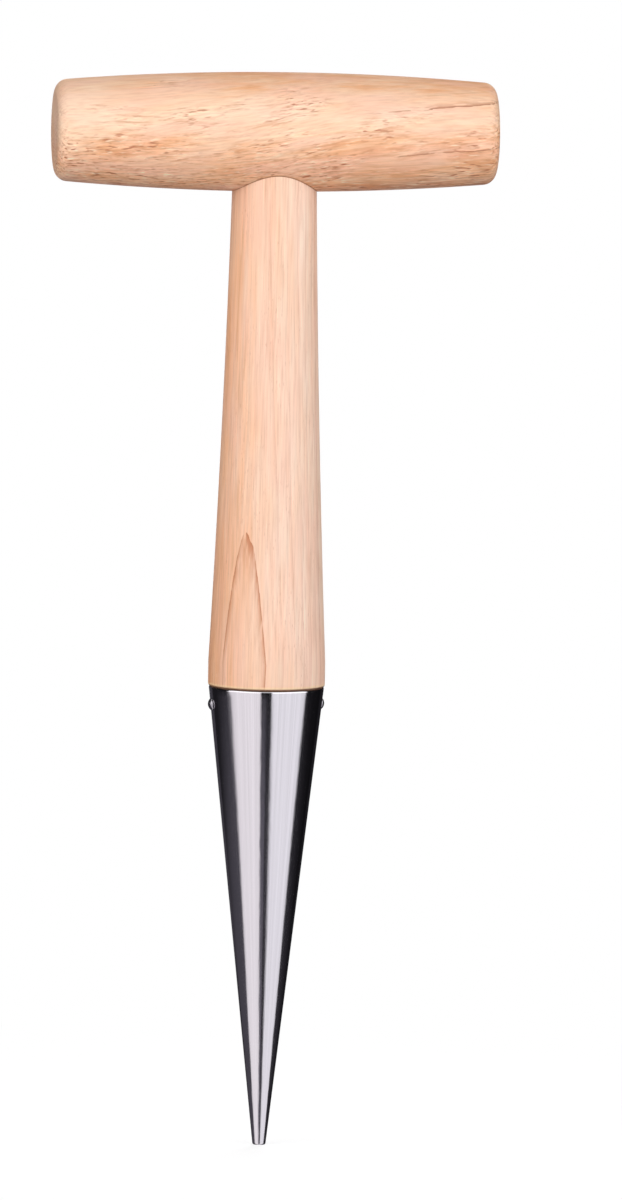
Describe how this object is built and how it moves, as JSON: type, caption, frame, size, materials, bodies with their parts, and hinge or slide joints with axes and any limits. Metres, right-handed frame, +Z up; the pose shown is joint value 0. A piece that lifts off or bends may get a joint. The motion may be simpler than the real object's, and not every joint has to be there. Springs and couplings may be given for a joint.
{
  "type": "dibber",
  "caption": "T-handled planting dibber: barrel-shaped wooden crossbar on a flared wooden shaft, with a nailed hollow steel cone for making seed and bulb holes.",
  "frame": {"origin": "centre of the blunt tip's flat end, the lowest point of the dibber", "axes": "+Z up the shaft from the tip to the crossbar, +X along the crossbar, +Y away from the viewer"},
  "size_m": [0.115, 0.031, 0.28],
  "materials": {
    "wood": "satin",
    "cone_steel": "polished",
    "nail_steel": "polished"
  },
  "bodies": {
    "root": {"crossbar": "wood", "shaft": "wood", "steel_cone": "cone_steel", "rim_nails": "nail_steel"}
  },
  "joints": []
}
